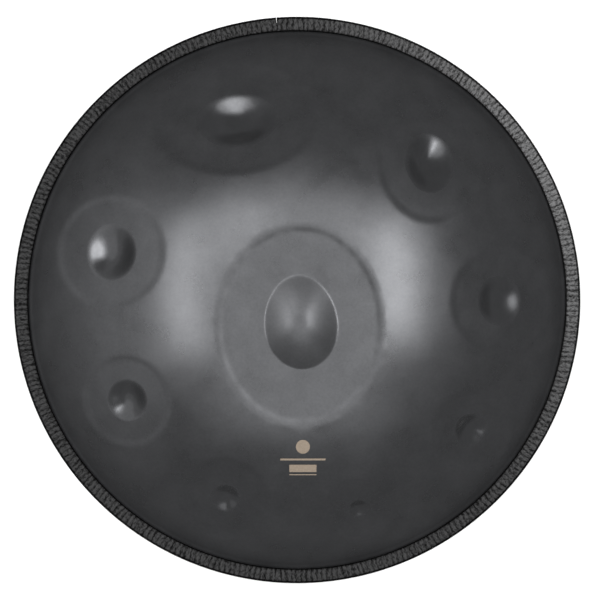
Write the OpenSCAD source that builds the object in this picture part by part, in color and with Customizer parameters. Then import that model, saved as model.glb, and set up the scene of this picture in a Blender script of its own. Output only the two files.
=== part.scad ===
// Handpan: two domed steel shells glued flange to flange, with a ribbed edge trim over the joined rim.
// The pan stands on the flat land around its port. The origin is the centre of that land, and +Z runs up
// through the port to the raised centre dome. +Y points at the side where the two ends of the trim meet.

/* [Shells] */
// Outer diameter over the rim trim
pan_d = 540; // [500:5:580]
// Rise of each dome from its flange to its pole, before anything is pressed into it
dome_rise = 110; // [95:1:125]
// Thickness of the steel sheet
sheet_t = 1.2; // [1:0.1:1.6]
// Radius of the bend between each dome and its flange
flange_bend_r = 3; // [2:0.5:5]
// Thickness of the adhesive between the two flanges
bond_t = 0.3; // [0.2:0.1:0.6]

/* [Rim trim] */
// Width of the trim seen from above
trim_w = 14; // [12:0.5:18]
// Height of the trim
trim_h = 9.6; // [8.8:0.2:12]
// Radius of the trim's two outer corners
trim_corner_r = 3.4; // [2:0.1:4]
// Radius of the trim's two inner corners
trim_lip_r = 1.2; // [0.5:0.1:1.5]
// Thickness of the sheet-steel clip inside the trim
clip_t = 0.5; // [0.4:0.1:0.8]
// Gap where the two ends of the trim meet
trim_gap = 0.5; // [0.4:0.1:2]
// Direction of that gap, counter-clockwise from +X
trim_gap_turn = 94.2; // [0:0.1:359]

/* [Port] */
// Diameter of the port's bore
port_d = 100; // [90:1:115]
// Length of the straight neck above the port's rounded mouth
neck_h = 14; // [8:1:25]
// Radius of the rounded mouth
mouth_r = 5; // [4:0.5:8]
// Width of the flat land around the mouth, on which the pan stands
land_w = 5; // [3:0.5:8]

/* [Playing surface] */
// Share of a tone field's natural bulge that is pressed flat
field_flat = 0.5; // [0:0.05:0.8]
// Step down into a tone field at its border
field_step = 0.6; // [0:0.1:1]
// Rise of the centre dome above its tone field
ding_rise = 12; // [8:0.5:18]
// Length of the centre dome's egg-shaped base
ding_l = 88; // [70:1:100]
// Width of the centre dome's egg-shaped base
ding_w = 68; // [55:1:80]

/* [Badge] */
// Thickness of the printed film
badge_t = 0.2; // [0.1:0.1:0.4]
// Diameter of the plain disc
badge_disc_d = 13; // [8:1:20]
// Length of the longer bar
badge_bar_l = 42; // [20:1:50]
// Distance of the disc from the middle of the pan
badge_y = 136; // [125:1:145]

/* [Hidden] */

// Colours
STEEL = [0.27, 0.28, 0.28];
STEEL_BELOW = [0.22, 0.23, 0.23];
GLUE = [0.72, 0.70, 0.62];
TRIM_BLACK = [0.09, 0.09, 0.09];
CLIP_STEEL = [0.62, 0.63, 0.65];
BADGE_BEIGE = [0.78, 0.73, 0.65];

// Rim radii, and how far the trim covers each flange bend
pan_r = pan_d / 2;
trim_wall = 5;
flange_r = pan_r - trim_wall;
trim_in_r = pan_r - trim_w;
bend_cover = 1.5;
bend_foot_r = trim_in_r + bend_cover;

// Radius of each dome's outer face, which runs tangent into its flange bend, and the angle where it ends
dome_r = (pow(bend_foot_r, 2) + pow(dome_rise, 2)) / (2 * dome_rise) - flange_bend_r;
dome_end = asin(bend_foot_r / (dome_r + flange_bend_r));

// Heights, from the land up
port_r = port_d / 2;
land_in_r = port_r + mouth_r;
land_out_r = land_in_r + land_w;
low_centre_z = sqrt(pow(dome_r, 2) - pow(land_out_r, 2));
low_flange_z = low_centre_z - dome_r + dome_rise;
bond_z = low_flange_z + sheet_t;
top_flange_z = bond_z + bond_t + sheet_t;
rim_mid_z = bond_z + bond_t / 2;
top_centre_z = top_flange_z + dome_rise - dome_r;

// Steps along the arcs of a revolved outline, in degrees
DOME_STEP = 1.5;
BEND_STEPS = 8;
ROUND = 160;

// Centre dome: place and turn of its base, how much the base narrows, how blunt the top is (0 would be a
// cone), how far the top leans along and across the base, and place and size of its tone field
DING_AT = [3.7, -20.6];
DING_TURN = 95;
DING_NARROWING = 0.06;
DING_NOSE = 0.38;
DING_LEAN = [-0.08, 0.06];
DING_FIELD_AT = [2.7, -23.2];
DING_FIELD_SIZE = [183, 151];

// Outer notes: direction from +X, distance from the middle, field length and width,
// dimple length, width and depth, and the direction of both long axes
NOTES = [
    [108.5, 178.5, 152, 101, 76.5, 52, 7.8, 5],
    [46.1, 179.5, 112, 96, 57, 46.5, 6.5, 95],
    [-0.3, 191, 95, 92, 47.5, 42.5, 5.3, 90],
    [-36.7, 204.5, 74, 72, 32, 30.5, 4, 53],
    [-73.5, 205, 60, 56, 19, 17.5, 2, 5],
    [-109.9, 198.5, 80, 74, 28.5, 27.5, 3.4, 0],
    [-149.4, 185, 83, 79, 40, 39, 4.3, 120],
    [165.6, 180, 102, 100, 53.5, 48.5, 5.8, 85]
];

// Exponent of a dimple's bell-shaped bowl, and how far a field's border reaches to each side of its oval
BOWL_POWER = 1.5;
BORDER = 0.06;

// ---- Pressed shapes --------------------------------------------------------------------------------------

function eased(v) = let (u = min(max(v, 0), 1)) u * u * (3 - 2 * u);

// Distance of a point from an oval's middle, counted in the oval's own half sizes
function oval_reach(p, at, length, width, turn) =
    let (d = p - at)
    norm([(d.x * cos(turn) + d.y * sin(turn)) * 2 / length, (d.y * cos(turn) - d.x * sin(turn)) * 2 / width]);

// How far a tone field lies below the dome: part of its bulge, and the step at its border
function field_drop(reach, width) =
    field_flat * pow(width / 2, 2) / (2 * dome_r) * max(0, 1 - reach * reach)
    + field_step * (1 - eased((reach - 1 + BORDER) / (2 * BORDER)));

function dimple_drop(reach, depth) = depth * pow(max(0, 1 - reach * reach), BOWL_POWER);

function note_at(n) = n[1] * [cos(n[0]), sin(n[0])];

function note_drop(p, n) =
    field_drop(oval_reach(p, note_at(n), n[2], n[3], n[7]), n[3])
    + dimple_drop(oval_reach(p, note_at(n), n[4], n[5], n[7]), n[6]);

// A point seen from the middle of the centre dome's base, along and across it, counted in its half sizes. The
// base is an egg: an oval that narrows towards one end of its long axis.
function ding_place(p) =
    let (d = p - DING_AT)
    let (along = (d.x * cos(DING_TURN) + d.y * sin(DING_TURN)) * 2 / ding_l)
    let (across = (d.y * cos(DING_TURN) - d.x * sin(DING_TURN)) * 2 / ding_w)
    [along, across / (1 - DING_NARROWING * along)];

// The centre dome is a blunt cone: straight towards its base, and rounded at its top
function ding_lift(p) =
    let (place = ding_place(p), fall = norm([norm(place), DING_NOSE]) - DING_NOSE)
    ding_rise * max(0, 1 - fall / (norm([1, DING_NOSE]) - DING_NOSE)) * (1 + DING_LEAN * place);

function sum(list) = list * [for (item = list) 1];

// How far the pressing moves the sheet out of the plain dome, along the dome's normal
function pressing(p) =
    ding_lift(p)
    - field_drop(oval_reach(p, DING_FIELD_AT, DING_FIELD_SIZE[0], DING_FIELD_SIZE[1], 90), DING_FIELD_SIZE[1])
    - sum([for (n = NOTES) note_drop(p, n)]);

// ---- Grid of the top shell -------------------------------------------------------------------------------

// Radii of the grid's rings on the dome, closer together where the centre dome and the dimples are
DOME_RINGS = concat(
    [for (r = [6:6:72]) r],
    [for (r = [81:10:151]) r],
    [for (r = [158:6:230]) r],
    [for (r = [238:8:dome_r * sin(dome_end) - 2]) r]
);

// One ring: radius and height of the outer face, and the face's normal
function dome_ring(r) =
    let (up = sqrt(pow(dome_r, 2) - r * r))
    [r, top_centre_z + up, r / dome_r, up / dome_r];

function bend_ring(a) = [
    bend_foot_r - flange_bend_r * sin(a),
    top_flange_z + flange_bend_r * (1 - cos(a)),
    sin(a),
    cos(a)
];

TOP_RINGS = concat(
    [for (r = DOME_RINGS) dome_ring(r)],
    [for (k = [3:-1:0]) bend_ring(dome_end * k / 3)],
    [[flange_r, top_flange_z, 0, 1]]
);

// Half of the angle that a note's dimple takes up, seen from the middle
function half_turn(n) = atan(n[4] / 2 / n[1]) * 1.06;

// Directions of the grid's spokes: several across each dimple, and even steps between the dimples
DIMPLE_STEP = 3.4;
PLAIN_STEP = 8.4;

function dimple_spokes(n) =
    let (half = half_turn(n), m = max(2, ceil(half / DIMPLE_STEP)))
    [for (k = [-m:m]) n[0] + half * k / m];

function plain_spokes(n, next) =
    let (from = n[0] + half_turn(n), to = next[0] - half_turn(next))
    let (span = ((to - from) % 360 + 360) % 360, m = ceil(span / PLAIN_STEP))
    [for (k = [1:m - 1]) from + span * k / m];

// NOTES run clockwise, so the list is read backwards to make the spokes run counter-clockwise
function nth_note(i) = NOTES[((-i) % len(NOTES) + len(NOTES)) % len(NOTES)];

SPOKES = [
    for (i = [0:len(NOTES) - 1])
        each concat(dimple_spokes(nth_note(i)), plain_spokes(nth_note(i), nth_note(i + 1)))
];

function grid_point(ring, turn, inward) =
    let (flat = ring[0] * [cos(turn), sin(turn)], lift = pressing(flat) - inward)
    [flat.x + lift * ring[2] * cos(turn), flat.y + lift * ring[2] * sin(turn), ring[1] + lift * ring[3]];

// Two triangles between four corners, given clockwise as seen from outside
function quad(a, b, c, d) = [[a, b, c], [a, c, d]];

// ---- Outlines of the revolved pieces ---------------------------------------------------------------------

function arc(centre, r, from, to, steps) =
    [for (k = [0:steps]) let (a = from + (to - from) * k / steps) centre + r * [cos(a), sin(a)]];

function low_face(inward, from) = concat(
    arc([0, low_centre_z], dome_r - inward, from - 90, dome_end - 90, ceil((dome_end - from) / DOME_STEP)),
    arc([bend_foot_r, low_flange_z - flange_bend_r], flange_bend_r + inward, 90 + dome_end, 90, BEND_STEPS),
    [[flange_r, low_flange_z + inward]]
);

function mouth_face(inward) = concat(
    [[port_r + inward, mouth_r + neck_h]],
    arc([land_in_r, mouth_r], mouth_r - inward, 180, 270, BEND_STEPS)
);

function reversed(list) = [for (i = [len(list) - 1:-1:0]) list[i]];

// ---- Sub-parts -------------------------------------------------------------------------------------------

// Playing side: one pressed sheet with the centre dome, its tone field, and eight notes around it
module top_shell() {
    spokes = len(SPOKES);
    rings = len(TOP_RINGS);
    side = rings * spokes;
    points = concat(
        [for (ring = TOP_RINGS) for (turn = SPOKES) grid_point(ring, turn, 0)],
        [for (ring = TOP_RINGS) for (turn = SPOKES) grid_point(ring, turn, sheet_t)],
        [grid_point(dome_ring(0), 0, 0), grid_point(dome_ring(0), 0, sheet_t)]
    );
    outer_faces = [
        for (i = [0:rings - 2]) for (j = [0:spokes - 1])
            let (k = (j + 1) % spokes, a = i * spokes, b = a + spokes)
            each quad(a + j, a + k, b + k, b + j)
    ];
    inner_faces = [for (f = outer_faces) [f[2] + side, f[1] + side, f[0] + side]];
    edge = (rings - 1) * spokes;
    edge_faces = [
        for (j = [0:spokes - 1])
            let (k = (j + 1) % spokes)
            each quad(edge + j, edge + k, side + edge + k, side + edge + j)
    ];
    poles = [
        for (j = [0:spokes - 1])
            let (k = (j + 1) % spokes)
            each [[2 * side, k, j], [2 * side + 1, side + j, side + k]]
    ];
    color(STEEL)
    polyhedron(points, concat(outer_faces, inner_faces, edge_faces, poles));
}

// Port side: plain dome with the flat land, the rounded mouth and the inward neck of the port
module bottom_shell() {
    inner_start = acos((low_centre_z - sheet_t) / (dome_r - sheet_t));
    outside = concat(mouth_face(0), low_face(0, asin(land_out_r / dome_r)));
    inside = concat(mouth_face(sheet_t), low_face(sheet_t, inner_start));
    color(STEEL_BELOW)
    rotate_extrude($fn = ROUND)
    polygon(concat(outside, reversed(inside)));
}

// Ring of adhesive that joins the two flanges
module flange_bond() {
    color(GLUE)
    translate([0, 0, bond_z])
    difference() {
        cylinder(h = bond_t, r = flange_r - 1, $fn = ROUND);
        translate([0, 0, -1])
        cylinder(h = bond_t + 2, r = bend_foot_r + 1.5, $fn = ROUND);
    }
}

// A ring that stops short of a full turn, so that its ends leave the trim's gap between them
module open_ring() {
    gap = 2 * asin(trim_gap / 2 / pan_r);
    rotate([0, 0, trim_gap_turn + gap / 2])
    rotate_extrude(angle = 360 - gap, $fn = ROUND)
    children();
}

// The clip's outline: a channel that lies in the middle of the trim's wall
CLIP_LIP = 2;
CLIP_HALF_H = 3.3;
CLIP_OUT = 2.6;

module clip_outline() {
    out_r = pan_r - CLIP_OUT;
    in_r = trim_in_r + CLIP_LIP;
    polygon([
        [in_r, -CLIP_HALF_H],
        [out_r, -CLIP_HALF_H],
        [out_r, CLIP_HALF_H],
        [in_r, CLIP_HALF_H],
        [in_r, CLIP_HALF_H - clip_t],
        [out_r - clip_t, CLIP_HALF_H - clip_t],
        [out_r - clip_t, clip_t - CLIP_HALF_H],
        [in_r, clip_t - CLIP_HALF_H]
    ]);
}

// Edge trim: a soft channel that grips both flanges. Its lips reach over the feet of the flange bends, so
// their inner corners are rounded on both sides.
LIP_FOOT_R = 1.6;

module rim_trim() {
    half_h = trim_h / 2;
    slot = sheet_t + bond_t / 2;
    corner = [pan_r - trim_corner_r, half_h - trim_corner_r];
    foot = [trim_in_r + LIP_FOOT_R, slot + LIP_FOOT_R];
    lip = [trim_in_r + trim_lip_r, half_h - trim_lip_r];
    upper = concat(
        [[flange_r, slot]],
        arc(foot, LIP_FOOT_R, 270, 180, BEND_STEPS),
        arc(lip, trim_lip_r, 180, 90, BEND_STEPS),
        arc(corner, trim_corner_r, 90, 0, BEND_STEPS)
    );
    lower = [for (p = reversed(upper)) [p.x, -p.y]];
    color(TRIM_BLACK)
    translate([0, 0, rim_mid_z])
    open_ring()
    difference() {
        polygon(concat(upper, lower));
        clip_outline();
    }
}

// Sheet-steel clip that gives the trim its grip
module trim_clip() {
    color(CLIP_STEEL)
    translate([0, 0, rim_mid_z])
    open_ring()
    clip_outline();
}

// Plain printed mark: a disc over a long thin bar, a short thick bar and a short thin bar
BADGE_X = 5.5;
BADGE_STEPS = [12, 20.5, 26.5];
BADGE_BARS = [[1, 1.8], [0.6, 7], [0.6, 1]];

module badge_outline() {
    translate([BADGE_X, -badge_y])
    circle(d = badge_disc_d, $fn = 64);
    for (i = [0:len(BADGE_BARS) - 1])
        translate([BADGE_X, -badge_y - BADGE_STEPS[i]])
        square([badge_bar_l * BADGE_BARS[i][0], BADGE_BARS[i][1]], center = true);
}

module badge_mark() {
    color(BADGE_BEIGE)
    intersection() {
        translate([0, 0, top_centre_z])
        difference() {
            sphere(r = dome_r + badge_t, $fn = ROUND);
            sphere(r = dome_r, $fn = ROUND);
        }
        translate([0, 0, top_centre_z])
        linear_extrude(height = dome_r + 1)
        badge_outline();
    }
}

top_shell();
bottom_shell();
flange_bond();
rim_trim();
trim_clip();
badge_mark();
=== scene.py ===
"""Looks of the handpan: two nitrided steel shells, a ribbed edge trim and a small printed mark."""

import math

import bpy
import numpy as np
from mathutils import Matrix, Vector, noise
from mathutils.geometry import delaunay_2d_cdt


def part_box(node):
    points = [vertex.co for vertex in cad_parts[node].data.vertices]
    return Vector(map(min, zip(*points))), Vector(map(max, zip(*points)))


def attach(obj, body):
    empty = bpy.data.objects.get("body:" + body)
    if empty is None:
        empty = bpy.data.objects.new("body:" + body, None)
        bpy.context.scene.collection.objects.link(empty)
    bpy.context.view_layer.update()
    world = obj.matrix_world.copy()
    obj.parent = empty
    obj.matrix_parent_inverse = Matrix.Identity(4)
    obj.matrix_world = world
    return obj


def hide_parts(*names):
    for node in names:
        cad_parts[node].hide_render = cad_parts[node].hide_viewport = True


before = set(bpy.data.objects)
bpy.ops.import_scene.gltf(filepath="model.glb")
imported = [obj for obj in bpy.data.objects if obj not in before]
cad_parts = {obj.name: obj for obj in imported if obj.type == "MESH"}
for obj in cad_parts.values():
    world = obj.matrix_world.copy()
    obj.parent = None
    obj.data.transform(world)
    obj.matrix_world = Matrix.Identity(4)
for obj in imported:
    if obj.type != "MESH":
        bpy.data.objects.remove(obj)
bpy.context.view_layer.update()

# ---- Sizes, in millimetres unless a name says otherwise ---------------------------------------------------

MM = 0.001
PAN_R = round(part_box("rim_trim")[1].y / MM, 1)
SHEET = 1.2
BOND = 0.3
TRIM_W = 14.0
TRIM_H = 9.6
FLANGE_R = PAN_R - 5.0
TRIM_IN_R = PAN_R - TRIM_W
BEND_FOOT_R = TRIM_IN_R + 1.5
BEND_R = 3.0
DOME_RISE = 110.0
DOME_R = (BEND_FOOT_R**2 + DOME_RISE**2) / (2 * DOME_RISE) - BEND_R
DOME_END = math.asin(BEND_FOOT_R / (DOME_R + BEND_R))
TOP_FLANGE_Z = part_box("top_shell")[0].z / MM + SHEET
LOW_FLANGE_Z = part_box("bottom_shell")[1].z / MM - SHEET
RIM_MID_Z = TOP_FLANGE_Z - SHEET - BOND / 2
TOP_CENTRE_Z = TOP_FLANGE_Z + DOME_RISE - DOME_R
LOW_CENTRE_Z = LOW_FLANGE_Z + DOME_R - DOME_RISE

PORT_R = 50.0
MOUTH_R = 5.0
LAND_W = 5.0
NECK_H = 14.0

TRIM_CORNER_R = 3.4
TRIM_LIP_R = 1.2
TRIM_FOOT_R = 1.6
TRIM_GAP = 0.5
TRIM_GAP_TURN = math.radians(94.2)
# Share of the gap between the trim's ends that is closed on the inner part, how far in from the outer edge
# it starts to open, and over what width
GAP_CLOSED = 0.8
GAP_OPEN_AT, GAP_OPEN_W = 7.0, 5.0
RIBS = 336
RIB_STEPS = 6
RIB_DEPTH = 0.5
# Widths over which the ribs fade in at the lip and out at the side, how far from the side they end, and how
# far they keep from the slot
RIB_FADE_IN, RIB_FADE_OUT, RIB_END = 2.0, 1.5, 1.1
RIB_CLEAR = 0.1
# Unevenness of the ribs: wander and jitter along the rim and slant across it, in ribs, and swell
RIB_WANDER, RIB_JITTER, RIB_SLANT, RIB_SWELL = 0.22, 0.06, 0.16, 0.12
# Radius of the circle that the noise is read on, power of a rib's wave, and least inset from the outline
RIB_NOISE_R = 60.0
RIB_POWER = 0.8
RIB_LEAST_INSET = 0.02
# Painted shade on the rubber, where 1 is a rib's crest: its plain parts, such as the lips and outer side, and
# the grooves between ribs
PLAIN_PAINTED_SHADE, GROOVE_PAINTED_SHADE = 0.15, 0.45
# Painted light: how much paler the rubber is painted on its strongest side, that side, and how fast it falls
# off
PAINTED_SIDE_LIGHT = 2.3
PAINTED_SIDE_LIGHT_TURN = math.radians(25)
PAINTED_SIDE_LIGHT_FOCUS = 3

FIELD_FLAT = 0.5
FIELD_STEP = 0.6
FIELD_BORDER = 0.06
BOWL_POWER = 1.5
BOWL_EDGE_SOFT = 0.03

DING_AT = (3.7, -20.6)
DING_L, DING_W, DING_TURN = 88.0, 68.0, 95.0
DING_NARROWING = 0.06
DING_RISE = 12.0
DING_NOSE = 0.38
DING_LEAN = (-0.08, 0.06)
DING_EDGE_SOFT = 0.4
DING_FIELD = (2.7, -23.2, 183.0, 151.0, 90.0)
# Hammer marks along the centre field's border: depth, size, how far they spread in the field's half sizes,
# the share of the depth that is added all over, and the least share that is kept
HAMMER_DEPTH = 0.16
HAMMER_SIZE = 10.0
HAMMER_SPREAD = 0.1
HAMMER_BASE, HAMMER_LEAST = 0.06, 0.07

# Outer notes: direction, distance, field length and width, dimple length, width and depth, turn of the ovals
NOTES = (
    (108.5, 178.5, 152, 101, 76.5, 52, 7.8, 5),
    (46.1, 179.5, 112, 96, 57, 46.5, 6.5, 95),
    (-0.3, 191, 95, 92, 47.5, 42.5, 5.3, 90),
    (-36.7, 204.5, 74, 72, 32, 30.5, 4, 53),
    (-73.5, 205, 60, 56, 19, 17.5, 2, 5),
    (-109.9, 198.5, 80, 74, 28.5, 27.5, 3.4, 0),
    (-149.4, 185, 83, 79, 40, 39, 4.3, 120),
    (165.6, 180, 102, 100, 53.5, 48.5, 5.8, 85),
)

# Grid of the top shell: plain spacing, spacing round an oval, rings in and around a dimple and how far they
# clear the plain grid, the same two for the centre field's border, and points round the shell's edge
PLAIN_GRID = 2.8
OVAL_GRID = 1.7
OVAL_RINGS = (0.1, 0.2, 0.3, 0.4, 0.5, 0.6, 0.7, 0.78, 0.85, 0.91, 0.95, 0.98, 1.0, 1.02, 1.05, 1.1)
OVAL_CLEAR = 1.15
BORDER_RINGS = tuple(0.88 + 0.02 * i for i in range(13))
BORDER_CLEAR = 0.14
EDGE_POINTS = 720

# Steps along the lower shell's dome, flange bend and mouth, and round the shell
DOME_STEPS, BEND_STEPS, MOUTH_STEPS, TURN_STEPS = 60, 8, 12, 400


# ---- The pressed shape of the top shell -------------------------------------------------------------------

def eased(v):
    u = np.clip(v, 0.0, 1.0)
    return u * u * (3 - 2 * u)


def soft_positive(height, softness):
    """max(0, height) with its corner rounded."""
    return 0.5 * (height + np.sqrt(height**2 + softness**2))


def note_at(note):
    turn = math.radians(note[0])
    return note[1] * math.cos(turn), note[1] * math.sin(turn)


def oval_reach(x, y, at, length, width, turn):
    """Distance from an oval's middle, counted in its own half sizes."""
    c, s = math.cos(math.radians(turn)), math.sin(math.radians(turn))
    dx, dy = x - at[0], y - at[1]
    return np.hypot((dx * c + dy * s) * 2 / length, (dy * c - dx * s) * 2 / width)


def centre_field_reach(x, y):
    return oval_reach(x, y, DING_FIELD[:2], *DING_FIELD[2:])


def dimple_reach(x, y, note):
    return oval_reach(x, y, note_at(note), note[4], note[5], note[7])


def ding_place(x, y):
    """A point along and across the egg-shaped base of the centre dome, counted in the base's half sizes."""
    c, s = math.cos(math.radians(DING_TURN)), math.sin(math.radians(DING_TURN))
    dx, dy = x - DING_AT[0], y - DING_AT[1]
    along = (dx * c + dy * s) * 2 / DING_L
    across = (dy * c - dx * s) * 2 / DING_W
    return along, across / (1 - DING_NARROWING * np.clip(along, -1.5, 1.5))


def ding_reach(x, y):
    return np.hypot(*ding_place(x, y))


def field_drop(reach, width):
    bulge = FIELD_FLAT * (width / 2) ** 2 / (2 * DOME_R)
    step = FIELD_STEP * (1 - eased((reach - 1 + FIELD_BORDER) / (2 * FIELD_BORDER)))
    return bulge * np.maximum(0, 1 - reach**2) + step


def bowl_drop(reach, depth):
    return depth * soft_positive(1 - reach**2, BOWL_EDGE_SOFT) ** BOWL_POWER


def hammering(x, y, reach):
    """Shallow marks left by the hammer where the centre field was tuned."""
    marks = np.zeros(len(x))
    spread = HAMMER_DEPTH * (HAMMER_BASE + np.exp(-(((reach - 1) / HAMMER_SPREAD) ** 2)))
    for i in np.flatnonzero(spread > HAMMER_LEAST * HAMMER_DEPTH):
        marks[i] = spread[i] * noise.noise(Vector((x[i], y[i], 0)) / HAMMER_SIZE)
    return marks


def pressing(x, y):
    """How far the pressing moves the sheet out of the plain dome, along the dome's normal."""
    fall = (np.hypot(ding_reach(x, y), DING_NOSE) - DING_NOSE) / (math.hypot(1, DING_NOSE) - DING_NOSE)
    along, across = ding_place(x, y)
    lean = 1 + DING_LEAN[0] * np.clip(along, -1, 1) + DING_LEAN[1] * np.clip(across, -1, 1)
    lift = soft_positive(DING_RISE * (1 - fall), DING_EDGE_SOFT) * lean
    reach = centre_field_reach(x, y)
    lift = lift - field_drop(reach, DING_FIELD[3]) + hammering(x, y, reach)
    for note in NOTES:
        lift = lift - field_drop(oval_reach(x, y, note_at(note), note[2], note[3], note[7]), note[3])
        lift = lift - bowl_drop(dimple_reach(x, y, note), note[6])
    return lift


def dome_and_bend(r):
    """Height and normal of the plain outer face at a radius: dome, flange bend, flange."""
    r = np.asarray(r, float)
    on_dome = r <= DOME_R * math.sin(DOME_END)
    safe = np.minimum(r, DOME_R)
    up = np.sqrt(DOME_R**2 - safe**2)
    sine = np.clip((BEND_FOOT_R - r) / BEND_R, 0, 1)
    cosine = np.sqrt(1 - sine**2)
    height = np.where(on_dome, TOP_CENTRE_Z + up, TOP_FLANGE_Z + BEND_R * (1 - cosine))
    return height, np.where(on_dome, safe / DOME_R, sine), np.where(on_dome, up / DOME_R, cosine)


def oval_points(at, length, width, turn, narrowing=0.0, rings=OVAL_RINGS):
    """Points on an oval's rings, closer together across its rim."""
    c, s = math.cos(math.radians(turn)), math.sin(math.radians(turn))
    points = []
    for i, ring in enumerate(rings):
        around = math.pi * (length + width) / 2 * ring
        n = max(8, round(around / OVAL_GRID))
        for k in range(n):
            a = math.tau * (k + 0.5 * (i % 2)) / n
            along, across = ring * math.cos(a), ring * math.sin(a)
            u, v = along * length / 2, across * (1 - narrowing * along) * width / 2
            points.append((at[0] + u * c - v * s, at[1] + u * s + v * c))
    return points


def plain_points():
    """Points over the rest of the sheet, out to its edge."""
    points = []
    dome_edge = DOME_R * math.sin(DOME_END)
    rings = round(dome_edge / PLAIN_GRID)
    for i in range(rings):
        r = dome_edge * (i + 0.5) / rings
        n = max(6, round(math.tau * r / PLAIN_GRID))
        a = math.tau * (np.arange(n) + 0.5 * (i % 2)) / n
        points.append(np.stack([r * np.cos(a), r * np.sin(a)], 1))
    flat = np.concatenate(points)
    x, y = flat[:, 0], flat[:, 1]
    inside = ding_reach(x, y) < OVAL_CLEAR
    inside |= np.abs(centre_field_reach(x, y) - 1) < BORDER_CLEAR
    for note in NOTES:
        inside |= dimple_reach(x, y, note) < OVAL_CLEAR
    flat = [tuple(p) for p in flat[~inside]]
    bend = [BEND_FOOT_R - BEND_R * math.sin(DOME_END * (1 - k / 5)) for k in range(6)]
    flange = [BEND_FOOT_R + (FLANGE_R - BEND_FOOT_R) * k / 3 for k in range(1, 4)]
    for r in bend + flange:
        a = math.tau * np.arange(EDGE_POINTS) / EDGE_POINTS
        flat += [tuple(p) for p in np.stack([r * np.cos(a), r * np.sin(a)], 1)]
    return flat


def add_object(name, data):
    ob = bpy.data.objects.new(name, data)
    bpy.context.scene.collection.objects.link(ob)
    return ob


def mesh_object(name, points_mm, faces, sharp_deg=35.0):
    mesh = bpy.data.meshes.new(name)
    mesh.from_pydata((np.asarray(points_mm) * MM).tolist(), [], faces)
    mesh.polygons.foreach_set("use_smooth", np.ones(len(mesh.polygons), bool))
    mesh.set_sharp_from_angle(angle=math.radians(sharp_deg))
    mesh.validate()
    return add_object(name, mesh)


# Roughness of the steel: plain dome, dimples burnished by the press, centre dome, and next to the trim
ROUGH_PLAIN, ROUGH_DIMPLE, ROUGH_DING, ROUGH_EDGE = 0.25, 0.14, 0.33, 0.6
# Where the roughness of a dimple and of the centre dome starts to give way to the plain one, and over what
# reach, and the width of the rough edge
POLISH_FROM, POLISH_FADE = 0.75, 0.3
DOMED_FROM, DOMED_FADE = 0.9, 0.15
EDGE_W = 5.0
# The hammered band inside the centre field's border: where and how wide it is, how much painted light and
# shade make it paler on one side and darker on the other and how much it changes at random, the direction of
# its painted paler side, and how faint a band is still changed at random
BAND_REACH, BAND_W = 0.97, 0.03
BAND_PAINTED_SHADE, BAND_MOTTLE, BAND_PAINTED_LIGHT_TURN = 0.34, 0.2, math.radians(235)
BAND_LEAST = 0.05


def add_value(ob, name, values):
    """A number at each vertex, read by the piece's material."""
    layer = ob.data.attributes.new(name, "FLOAT", "POINT")
    layer.data.foreach_set("value", np.asarray(values, np.float32))


def band_tone(x, y):
    """How much paler or darker the hammered band is than the rest of the sheet: painted light and shade from
    side to side, and random mottle.
    """
    band = np.exp(-(((centre_field_reach(x, y) - BAND_REACH) / BAND_W) ** 2))
    mottle = np.zeros(len(x))
    for i in np.flatnonzero(band > BAND_LEAST):
        mottle[i] = noise.noise(Vector((x[i], y[i], 0)) / HAMMER_SIZE)
    turn = np.arctan2(y - DING_FIELD[1], x - DING_FIELD[0])
    # painted light and shade: paler on one side of the field and darker on the other; the mottle is at random
    return 1 + band * (BAND_PAINTED_SHADE * np.cos(turn - BAND_PAINTED_LIGHT_TURN) + BAND_MOTTLE * mottle)


def make_top_shell():
    flat = plain_points() + oval_points(DING_AT, DING_L, DING_W, DING_TURN, DING_NARROWING)
    flat += oval_points(DING_FIELD[:2], *DING_FIELD[2:], rings=BORDER_RINGS)
    for note in NOTES:
        flat += oval_points(note_at(note), note[4], note[5], note[7])
    verts, _, faces, _, _, _ = delaunay_2d_cdt([Vector(p) for p in flat], [], [], 0, 1e-5)
    x, y = np.array([(v.x, v.y) for v in verts]).T
    r = np.hypot(x, y)
    turn = np.arctan2(y, x)
    height, out, up = dome_and_bend(r)
    lift = pressing(x, y)

    def face_points(lift):
        far = r + lift * out
        return np.stack([far * np.cos(turn), far * np.sin(turn), height + lift * up], 1)

    n = len(x)
    outer = [tuple(f) for f in faces]
    inner = [tuple(i + n for i in reversed(f)) for f in faces]
    edge = np.flatnonzero(r > FLANGE_R - 0.01)
    edge = edge[np.argsort(turn[edge])]
    sides = [(int(a), int(a) + n, int(b) + n, int(b)) for a, b in zip(edge, np.roll(edge, -1))]
    points = np.concatenate([face_points(lift), face_points(lift - SHEET)])
    ob = mesh_object("top_shell_pressed", points, outer + inner + sides)
    polish = np.zeros(n)
    for note in NOTES:
        polish = np.maximum(polish, 1 - eased((dimple_reach(x, y, note) - POLISH_FROM) / POLISH_FADE))
    domed = 1 - eased((ding_reach(x, y) - DOMED_FROM) / DOMED_FADE)
    finish = ROUGH_PLAIN + (ROUGH_DIMPLE - ROUGH_PLAIN) * polish + (ROUGH_DING - ROUGH_PLAIN) * domed
    finish += (ROUGH_EDGE - ROUGH_PLAIN) * eased((r - BEND_FOOT_R + BEND_R + EDGE_W) / EDGE_W)
    add_value(ob, "finish", np.tile(finish, 2))
    add_value(ob, "tone", np.tile(band_tone(x, y), 2))
    return ob


# ---- Revolved pieces --------------------------------------------------------------------------------------

def arc(centre, r, start_deg, end_deg, steps):
    a = np.radians(np.linspace(start_deg, end_deg, steps + 1))
    return [(centre[0] + r * math.cos(t), centre[1] + r * math.sin(t)) for t in a]


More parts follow.
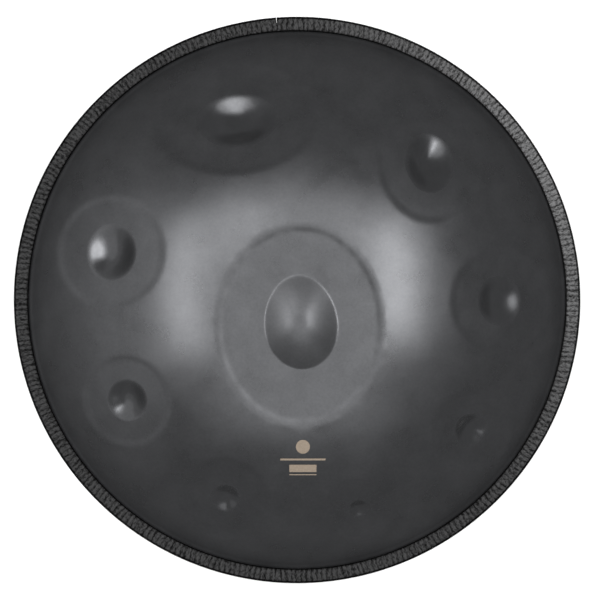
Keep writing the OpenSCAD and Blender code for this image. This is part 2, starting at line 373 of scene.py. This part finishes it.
def revolve(name, outline, steps):
    """A closed outline turned a full turn about Z."""
    n = len(outline)
    rz = np.array(outline)
    a = math.tau * np.arange(steps) / steps
    points = np.stack([
        np.outer(np.cos(a), rz[:, 0]).ravel(),
        np.outer(np.sin(a), rz[:, 0]).ravel(),
        np.tile(rz[:, 1], steps),
    ], 1)
    faces = []
    for k in range(steps):
        here, there = k * n, (k + 1) % steps * n
        for i in range(n):
            j = (i + 1) % n
            faces.append((here + i, there + i, there + j, here + j))
    return mesh_object(name, points, faces)


def low_face(inward, start_deg):
    """The lower shell's dome, flange bend and flange, at a depth into the sheet."""
    end = math.degrees(DOME_END)
    # the dome's last point is the bend's first
    dome = arc((0, LOW_CENTRE_Z), DOME_R - inward, start_deg - 90, end - 90, DOME_STEPS)[:-1]
    bend = arc((BEND_FOOT_R, LOW_FLANGE_Z - BEND_R), BEND_R + inward, 90 + end, 90, BEND_STEPS)
    return dome + bend + [(FLANGE_R, LOW_FLANGE_Z + inward)]


def mouth_face(inward):
    """The port's face at a depth into the sheet: neck and rounded mouth."""
    neck = [(PORT_R + inward, MOUTH_R + NECK_H), (PORT_R + inward, MOUTH_R + NECK_H / 2)]
    return neck + arc((PORT_R + MOUTH_R, MOUTH_R), MOUTH_R - inward, 180, 270, MOUTH_STEPS)


def make_bottom_shell():
    outer_start = math.degrees(math.asin((PORT_R + MOUTH_R + LAND_W) / DOME_R))
    inner_start = math.degrees(math.acos((LOW_CENTRE_Z - SHEET) / (DOME_R - SHEET)))
    outside = mouth_face(0) + low_face(0, outer_start)
    inside = mouth_face(SHEET) + low_face(SHEET, inner_start)
    ob = revolve("bottom_shell_drawn", outside + inside[::-1], TURN_STEPS)
    add_value(ob, "finish", np.full(len(ob.data.vertices), ROUGH_PLAIN))
    add_value(ob, "tone", np.ones(len(ob.data.vertices)))
    return ob


def make_trim():
    """The edge trim: a channel outline swept round the rim, ribbed across its top and underside."""
    half_h, slot = TRIM_H / 2, SHEET + BOND / 2
    lip = (TRIM_IN_R + TRIM_LIP_R, half_h - TRIM_LIP_R)
    foot = (TRIM_IN_R + TRIM_FOOT_R, slot + TRIM_FOOT_R)
    corner = (PAN_R - TRIM_CORNER_R, half_h - TRIM_CORNER_R)
    upper = [(FLANGE_R, slot)] + arc(foot, TRIM_FOOT_R, 270, 180, 3)
    upper += arc(lip, TRIM_LIP_R, 180, 90, 4)
    upper += [(lip[0] + (corner[0] - lip[0]) * k / 6, half_h) for k in range(1, 6)]
    upper += arc(corner, TRIM_CORNER_R, 90, 0, 6)
    rz = np.array(upper + [(r, -z) for r, z in reversed(upper)])
    n = len(rz)
    before, after = rz - np.roll(rz, 1, 0), np.roll(rz, -1, 0) - rz
    along = before / np.linalg.norm(before, axis=1)[:, None] + after / np.linalg.norm(after, axis=1)[:, None]
    normal = np.stack([-along[:, 1], along[:, 0]], 1)
    normal /= np.linalg.norm(normal, axis=1)[:, None]
    # the ribs cross the top and the underside and fade out on the lips and the outer side
    ribbed = eased((rz[:, 0] - TRIM_IN_R) / RIB_FADE_IN) * eased((PAN_R - RIB_END - rz[:, 0]) / RIB_FADE_OUT)
    ribbed[np.abs(rz[:, 1]) < slot + RIB_CLEAR] = 0
    gap = 2 * math.asin(TRIM_GAP / 2 / PAN_R)
    steps = RIBS * RIB_STEPS
    turns = TRIM_GAP_TURN + gap / 2 + (math.tau - gap) * np.arange(steps + 1) / steps
    across = (rz[:, 0] - TRIM_IN_R) / TRIM_W
    # the two ends nearly touch on the inner part and part towards the outer edge
    closing = GAP_CLOSED * gap / 2 * (1 - eased((rz[:, 0] - PAN_R + GAP_OPEN_AT) / GAP_OPEN_W))
    points = np.empty((steps + 1, n, 3))
    painted_shade = np.empty((steps + 1, n))
    for k, turn in enumerate(turns):
        spot = RIB_NOISE_R * Vector((math.cos(turn), math.sin(turn), 0))
        wander = RIB_WANDER * noise.noise(spot) + RIB_JITTER * noise.noise(4 * spot)
        slant = RIB_SLANT * np.sin(across * 4 + 3 * noise.noise(0.2 * spot))
        wave = np.abs(np.sin(np.pi * (k / RIB_STEPS + wander + slant))) ** RIB_POWER
        swells = [noise.noise(Vector((1.3 * spot.x, 1.3 * spot.y, 3 * a))) for a in across]
        swell = RIB_SWELL * np.array(swells)
        inset = ribbed * (RIB_DEPTH * (1 - wave) + swell)
        inset = np.where(ribbed > 0, np.maximum(inset, RIB_LEAST_INSET), 0)
        r, z = rz[:, 0] - inset * normal[:, 0], rz[:, 1] - inset * normal[:, 1]
        turned = turn + closing * ((k == steps) * 1.0 - (k == 0) * 1.0)
        points[k] = np.stack([r * np.cos(turned), r * np.sin(turned), RIM_MID_Z + z], 1)
        # painted shade: darker in the grooves between ribs and on the plain lips and outer side
        painted_shade[k] = (1 - ribbed) * PLAIN_PAINTED_SHADE + ribbed * (GROOVE_PAINTED_SHADE + (1 - GROOVE_PAINTED_SHADE) * wave)
    faces = []
    for k in range(steps):
        here, there = k * n, (k + 1) * n
        for i in range(n):
            j = (i + 1) % n
            faces.append((here + j, there + j, there + i, here + i))
    faces += [tuple(range(n)), tuple(steps * n + i for i in reversed(range(n)))]
    ob = mesh_object("rim_trim_ribbed", points.reshape(-1, 3), faces, 60)
    add_value(ob, "painted_shade", painted_shade.ravel())
    # painted light: the rubber's colour and shine are made paler towards one side, as a low lamp there would
    # light it
    painted_side_light = 1 + PAINTED_SIDE_LIGHT * np.clip(np.cos(turns - PAINTED_SIDE_LIGHT_TURN), 0, 1) ** PAINTED_SIDE_LIGHT_FOCUS
    add_value(ob, "painted_side_light", np.repeat(painted_side_light, n))
    return ob


# ---- Materials --------------------------------------------------------------------------------------------

def new_material(name):
    m = bpy.data.materials.new(name)
    m.use_nodes = True
    nt = m.node_tree
    return m, nt, nt.nodes["Principled BSDF"]


def add_noise(nt, scale, detail=6.0):
    """Noise in object space: scale counts its features per metre."""
    coords = nt.nodes.new("ShaderNodeTexCoord")
    tex = nt.nodes.new("ShaderNodeTexNoise")
    tex.inputs["Scale"].default_value = scale
    tex.inputs["Detail"].default_value = detail
    tex.inputs["Roughness"].default_value = 0.6
    nt.links.new(coords.outputs["Object"], tex.inputs["Vector"])
    return tex.outputs["Fac"]


def add_math(nt, operation, a, b=0.0, c=0.0):
    node = nt.nodes.new("ShaderNodeMath")
    node.operation = operation
    for socket, value in zip(node.inputs, (a, b, c)):
        if isinstance(value, (int, float)):
            socket.default_value = value
        else:
            nt.links.new(value, socket)
    return node.outputs["Value"]


def add_attribute(nt, name):
    node = nt.nodes.new("ShaderNodeAttribute")
    node.attribute_name = name
    return node.outputs["Fac"]


def add_range(nt, value, low, high):
    """A value's place between low and high, from 0 to 1."""
    spread = nt.nodes.new("ShaderNodeMapRange")
    spread.inputs["From Min"].default_value = low
    spread.inputs["From Max"].default_value = high
    nt.links.new(value, spread.inputs["Value"])
    return spread.outputs["Result"]


def add_scaled(nt, colour, factor):
    node = nt.nodes.new("ShaderNodeVectorMath")
    node.operation = "SCALE"
    nt.links.new(colour, node.inputs["Vector"])
    nt.links.new(factor, node.inputs["Scale"])
    return node.outputs["Vector"]


def add_blend(nt, factor, dark, light):
    """Colour between dark and light, spread over 0.3 to 0.7, the range that noise fills."""
    mix = nt.nodes.new("ShaderNodeMix")
    mix.data_type = "RGBA"
    colours = [socket for socket in mix.inputs if socket.type == "RGBA"]
    colours[0].default_value = (*dark, 1)
    colours[1].default_value = (*light, 1)
    nt.links.new(add_range(nt, factor, 0.3, 0.7), mix.inputs["Factor"])
    return next(socket for socket in mix.outputs if socket.type == "RGBA")


def add_bump(nt, shader, height, strength, distance_mm):
    bump = nt.nodes.new("ShaderNodeBump")
    bump.inputs["Strength"].default_value = strength
    bump.inputs["Distance"].default_value = distance_mm * MM
    nt.links.new(height, bump.inputs["Height"])
    nt.links.new(bump.outputs["Normal"], shader.inputs["Normal"])


# The steel's colour, its clouds and fine marks in features per metre, the clouds' share of the two, how far
# both change the colour, and how much the clouds add to the roughness
STEEL = (0.0655, 0.0665, 0.0695)
CLOUD_SCALE, FINE_SCALE = 30.0, 420.0
CLOUD_SHARE, CLOUD_CONTRAST, CLOUD_ROUGH = 0.65, 0.18, 0.06


def steel(name, base):
    """Nitrided sheet steel: dark, satin, faintly clouded, with fine rubbed marks."""
    m, nt, shader = new_material(name)
    shader.inputs["Metallic"].default_value = 1.0
    clouds = add_noise(nt, CLOUD_SCALE)
    fine = add_noise(nt, FINE_SCALE, 3.0)
    clouded = add_math(nt, "MULTIPLY", clouds, CLOUD_SHARE)
    both = add_math(nt, "MULTIPLY_ADD", fine, 1 - CLOUD_SHARE, clouded)
    dark, light = ([c * (1 + change) for c in base] for change in (-CLOUD_CONTRAST, CLOUD_CONTRAST))
    # the band's random mottle and its painted light and shade
    toned = add_scaled(nt, add_blend(nt, both, dark, light), add_attribute(nt, "tone"))
    nt.links.new(toned, shader.inputs["Base Color"])
    rough = add_math(nt, "MULTIPLY_ADD", clouds, CLOUD_ROUGH, add_attribute(nt, "finish"))
    nt.links.new(rough, shader.inputs["Roughness"])
    return m


def grained(name, dark, light, scale, roughness, bump_mm=0.0, metallic=0.0):
    """An even, fine-grained surface."""
    m, nt, shader = new_material(name)
    grain = add_noise(nt, scale, 4.0)
    nt.links.new(add_blend(nt, grain, dark, light), shader.inputs["Base Color"])
    shader.inputs["Roughness"].default_value = roughness
    shader.inputs["Metallic"].default_value = metallic
    if bump_mm:
        add_bump(nt, shader, grain, 0.8, bump_mm)
    return m


# Grain of the trim, in millimetres: streaks' width and length, zigzag's width, and its lean
GRAIN_W, GRAIN_L = 1.1, 2.6
ZIGZAG_W, ZIGZAG_LEAN = 1.8, 0.5
# The grain's darkest shade, and how much its palest adds to that
GRAIN_LEAST, GRAIN_DEPTH = 0.4, 0.55


def ribbed_rubber(name, colour, roughness, gloss):
    """Black moulded rubber with a fine zigzag grain that runs across the trim; painted shade darkens the
    grooves, lips and outer side, and painted light makes one side paler.
    """
    m, nt, shader = new_material(name)
    split = nt.nodes.new("ShaderNodeSeparateXYZ")
    nt.links.new(nt.nodes.new("ShaderNodeTexCoord").outputs["Object"], split.inputs["Vector"])
    x, y, z = (split.outputs[axis] for axis in "XYZ")
    radius = add_math(nt, "SQRT", add_math(nt, "MULTIPLY_ADD", x, x, add_math(nt, "MULTIPLY", y, y)))
    along = add_math(nt, "MULTIPLY", add_math(nt, "ARCTAN2", y, x), PAN_R * MM)
    along = add_math(nt, "MULTIPLY_ADD", add_math(nt, "PINGPONG", radius, ZIGZAG_W * MM), ZIGZAG_LEAN, along)
    place = nt.nodes.new("ShaderNodeCombineXYZ")
    for axis, value, size in (("X", along, GRAIN_W), ("Y", radius, GRAIN_L), ("Z", z, GRAIN_L)):
        nt.links.new(add_math(nt, "MULTIPLY", value, 1 / (size * MM)), place.inputs[axis])
    tex = nt.nodes.new("ShaderNodeTexNoise")
    tex.inputs["Scale"].default_value = 1.0
    tex.inputs["Detail"].default_value = 2.0
    nt.links.new(place.outputs["Vector"], tex.inputs["Vector"])
    grain = add_range(nt, tex.outputs["Fac"], 0.35, 0.65)
    ridge = add_math(nt, "MULTIPLY_ADD", grain, GRAIN_DEPTH, GRAIN_LEAST)
    # the grain's lightness times the painted shade
    light = add_math(nt, "MULTIPLY", ridge, add_attribute(nt, "painted_shade"))
    # painted light and shade: the colour and the specular level follow the painted shade and grow paler
    # towards one side
    painted_side_light = add_attribute(nt, "painted_side_light")
    colour_with_painted_light_and_shade = add_scaled(nt, add_blend(nt, light, (0, 0, 0), colour), painted_side_light)
    nt.links.new(colour_with_painted_light_and_shade, shader.inputs["Base Color"])
    shine_with_painted_light_and_shade = add_math(nt, "MULTIPLY", add_math(nt, "MULTIPLY", light, gloss), painted_side_light)
    nt.links.new(shine_with_painted_light_and_shade, shader.inputs["Specular IOR Level"])
    shader.inputs["Roughness"].default_value = roughness
    add_bump(nt, shader, light, 0.6, 0.3)
    return m


def plain(name, base, roughness):
    m, nt, shader = new_material(name)
    shader.inputs["Base Color"].default_value = (*base, 1)
    shader.inputs["Roughness"].default_value = roughness
    return m


# ---- Stage ------------------------------------------------------------------------------------------------

# Camera's height above the rim, width of the photo at the rim and camera's place to the side, in metres
CAMERA_AWAY = 3.0
PHOTO_WIDTH = 0.5719
CAMERA_SIDE = 0.0028
# Width of the camera's sensor, in millimetres
SENSOR = 36


def make_camera():
    data = bpy.data.cameras.new("camera")
    data.sensor_width = SENSOR
    data.lens = SENSOR * CAMERA_AWAY / PHOTO_WIDTH
    camera = add_object("camera", data)
    camera.location = (CAMERA_SIDE, 0, RIM_MID_Z * MM + CAMERA_AWAY)
    bpy.context.scene.camera = camera


# Distance of the softboxes from the origin, in metres, and what all their radiances are multiplied by
STUDIO_AWAY = 6.0
GAIN = 1.44
# Radiance of the surroundings above and below the horizon, and the sines of elevation it changes between
WORLD, WORLD_BELOW = 0.6, 0.36
HORIZON_LOW, HORIZON_HIGH = -0.12, 0.06
# Softboxes: name, edges across in X and along in Y as degrees off the vertical, radiance and shape
SOFTBOXES = (
    ("softbox_overhead", (-35, 35), (-36, 35), 1.2, "ELLIPSE"),
    ("softbox_right", (25, 43), (-14, 30), 1.6, "RECTANGLE"),
    ("softbox_right_core", (27, 37), (-9, 24), 4.5, "RECTANGLE"),
    ("softbox_left", (-45, -28), (-18, 28), 1.3, "RECTANGLE"),
    ("softbox_left_core", (-40, -34), (-15, 24), 5.0, "RECTANGLE"),
    ("softbox_back", (-24, 24), (20, 36), 0.9, "RECTANGLE"),
    ("softbox_back_core", (-29, -12), (17, 32), 1.8, "RECTANGLE"),
    ("softbox_front", (-26, 30), (-44, -30), 0.8, "RECTANGLE"),
    ("softbox_far_left", (-70, -44), (-28, 28), 0.35, "ELLIPSE"),
    ("softbox_far_left_wide", (-82, -44), (-44, 40), 0.22, "ELLIPSE"),
)


def softbox(name, across, along, radiance, shape):
    """A soft light facing the pan."""
    lean_x, lean_y = (math.radians(sum(edge) / 2) for edge in (across, along))
    out = Vector((math.tan(lean_x), math.tan(lean_y), 1)).normalized()
    data = bpy.data.lights.new(name, "AREA")
    data.shape = shape
    data.size = 2 * STUDIO_AWAY * math.tan(math.radians((across[1] - across[0]) / 2))
    data.size_y = 2 * STUDIO_AWAY * math.tan(math.radians((along[1] - along[0]) / 2))
    area = data.size * data.size_y * (math.pi / 4 if shape == "ELLIPSE" else 1)
    data.energy = GAIN * radiance * math.pi * area
    lamp = add_object(name, data)
    side = Vector((0, 1, 0)).cross(out).normalized()
    up = out.cross(side)
    lamp.matrix_world = Matrix.Translation(out * STUDIO_AWAY) @ Matrix((side, up, out)).transposed().to_4x4()


# Radii of the floor's near part, the only one that the steel reflects, and of its far part, in metres
FLOOR_NEAR, FLOOR_FAR = 0.6, 14.0
FLOOR_SIDES = 90


def make_floor(name, inner, outer, material):
    n = FLOOR_SIDES
    a = math.tau * np.arange(n) / n
    ring = np.stack([np.cos(a), np.sin(a), 0 * a], 1)
    mesh = bpy.data.meshes.new(name)
    if inner:
        faces = [(k, n + k, n + (k + 1) % n, (k + 1) % n) for k in range(n)]
        mesh.from_pydata(np.concatenate([ring * inner, ring * outer]).tolist(), [], faces)
    else:
        mesh.from_pydata((ring * outer).tolist(), [], [tuple(range(n))])
    floor = add_object(name, mesh)
    floor.data.materials.append(material)
    return floor


def make_world():
    """Surroundings that darken below the horizon."""
    world = bpy.data.worlds.new("studio")
    world.use_nodes = True
    nt = world.node_tree
    split = nt.nodes.new("ShaderNodeSeparateXYZ")
    fade = nt.nodes.new("ShaderNodeMapRange")
    ends = {"From Min": HORIZON_LOW, "From Max": HORIZON_HIGH, "To Min": WORLD_BELOW, "To Max": WORLD}
    for name, value in ends.items():
        fade.inputs[name].default_value = value
    nt.links.new(nt.nodes.new("ShaderNodeTexCoord").outputs["Generated"], split.inputs["Vector"])
    nt.links.new(split.outputs["Z"], fade.inputs["Value"])
    nt.links.new(fade.outputs["Result"], nt.nodes["Background"].inputs["Strength"])
    nt.nodes["Background"].inputs["Color"].default_value = (1, 1, 1, 1)
    bpy.context.scene.world = world


def make_stage():
    white = plain("floor_white", (0.9, 0.9, 0.9), 0.9)
    make_floor("floor_near", 0.0, FLOOR_NEAR, white)
    far = make_floor("floor_far", FLOOR_NEAR, FLOOR_FAR, white)
    far.visible_glossy = False
    make_world()
    for box in SOFTBOXES:
        softbox(*box)
    bpy.context.scene.view_settings.view_transform = "Standard"


# ---- Assembly ---------------------------------------------------------------------------------------------

make_camera()
make_stage()

top = make_top_shell()
top.data.materials.append(steel("steel_top", STEEL))
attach(top, "root")
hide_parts("top_shell")

bottom = make_bottom_shell()
bottom.data.materials.append(steel("steel_bottom", STEEL))
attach(bottom, "root")
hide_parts("bottom_shell")

trim = make_trim()
trim.data.materials.append(ribbed_rubber("trim_black", (0.022, 0.022, 0.0225), 0.45, 0.17))
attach(trim, "root")
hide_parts("rim_trim")

for node, material in (
    ("badge_mark", grained("badge_beige", (0.145, 0.115, 0.085), (0.19, 0.15, 0.112), 900, 0.55, 0.02)),
    ("flange_bond", grained("adhesive_cream", (0.42, 0.4, 0.3), (0.5, 0.47, 0.37), 300, 0.6, 0.05)),
    ("trim_clip", grained("clip_steel", (0.3, 0.31, 0.33), (0.42, 0.43, 0.45), 500, 0.35, metallic=1.0)),
):
    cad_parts[node].data.materials.clear()
    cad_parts[node].data.materials.append(material)
